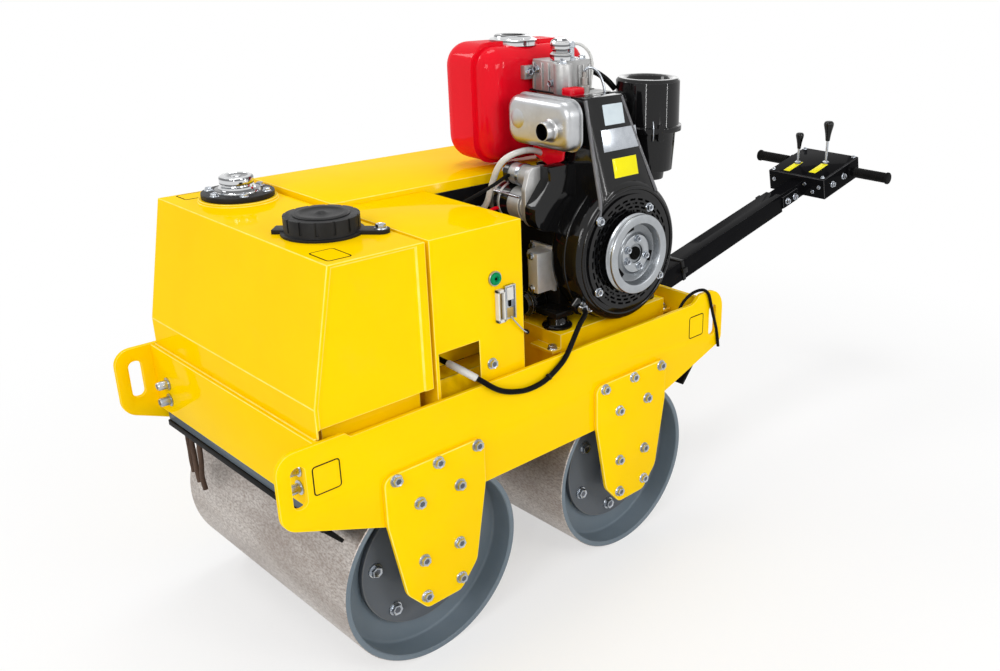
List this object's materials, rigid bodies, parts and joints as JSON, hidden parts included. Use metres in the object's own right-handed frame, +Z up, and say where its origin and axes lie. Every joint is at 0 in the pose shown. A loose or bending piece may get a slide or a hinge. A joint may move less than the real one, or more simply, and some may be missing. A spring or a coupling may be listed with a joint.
{
  "type": "walk-behind double drum roller",
  "caption": "Walk-behind vibrating roller: a steel frame on two bare drums, with a water tank, an open diesel engine and a hinged tow arm with a control box.",
  "frame": {"origin": "middle of the box around the machine, on the floor under the drums", "axes": "+X to the water tank, +Y to the fan side of the engine, +Z up"},
  "size_m": [2.2976, 0.7061, 1.221],
  "materials": {
    "yellow_paint": "gloss powder coat",
    "bare_steel": "mottled bare steel",
    "grey_paint": "satin grey-blue paint",
    "dark_paint": "gloss black paint",
    "satin_black": "satin black powder coat",
    "rubber": "matt",
    "black_plastic": "matt",
    "knob_plastic": "gloss",
    "red_paint": "gloss",
    "cast_aluminium": "cast",
    "aluminised": "aluminised sheet",
    "zinc": "zinc plate",
    "chrome": "polished",
    "cast_iron": "painted black",
    "lamp_green": "gloss",
    "rusty_steel": "rusty",
    "hose": "satin"
  },
  "bodies": {
    "chassis": {"side_plate_left": "yellow_paint", "side_plate_right": "yellow_paint", "front_beam": "yellow_paint", "rear_beam": "yellow_paint", "deck": "yellow_paint", "hanger_front_left": "yellow_paint", "hanger_front_right": "yellow_paint", "hanger_rear_left": "yellow_paint", "hanger_rear_right": "yellow_paint", "front_axles": "bare_steel", "rear_axles": "bare_steel", "front_scraper": "grey_paint", "rear_scraper": "grey_paint", "front_rubber": "rubber", "rear_rubber": "rubber", "scraper_tines": "rusty_steel", "water_tank": "yellow_paint", "tank_base": "yellow_paint", "water_cap": "black_plastic", "filler_flange": "black_plastic", "breather_cap": "chrome", "side_cover": "yellow_paint", "hood": "yellow_paint", "lamp": "lamp_green", "latch": "zinc", "battery": "black_plastic", "engine_tray": "yellow_paint", "engine_feet": "rubber", "engine_block": "cast_iron", "cylinder_head": "cast_aluminium", "fan_shroud": "dark_paint", "fan_grille": "dark_paint", "muffler": "aluminised", "fuel_tank": "red_paint", "fuel_cap": "zinc", "air_cleaner": "dark_paint", "starter_motor": "cast_aluminium", "pump_cover": "cast_aluminium", "oil_filter": "dark_paint", "arm_bracket": "yellow_paint", "engine_cable": "rubber", "fuel_hose": "hose", "tie_cord": "rubber"},
    "front_roll": {"front_drum": "bare_steel", "front_discs": "grey_paint"},
    "rear_roll": {"rear_drum": "bare_steel", "rear_discs": "grey_paint"},
    "arm": {"handle_arm": "satin_black", "control_box": "satin_black", "hand_grips": "rubber", "drive_lever": "knob_plastic", "vibration_lever": "knob_plastic"},
    "crank": {"start_pulley": "zinc"}
  },
  "joints": [
    {"name": "front_drum_spin", "type": "hinge", "parent": "chassis", "child": "front_roll", "pos_m": [0.82575, 0, 0.213], "axis": [0, 1, 0], "continuous": true},
    {"name": "rear_drum_spin", "type": "hinge", "parent": "chassis", "child": "rear_roll", "pos_m": [0.25575, 0, 0.213], "axis": [0, 1, 0], "continuous": true},
    {"name": "arm_fold", "type": "hinge", "parent": "chassis", "child": "arm", "pos_m": [-0.06525, 0, 0.468], "axis": [0, 1, 0], "range_deg": [0, 75]},
    {"name": "crank_spin", "type": "hinge", "parent": "chassis", "child": "crank", "pos_m": [0.19875, 0.29, 0.746], "axis": [0, 1, 0], "continuous": true}
  ]
}
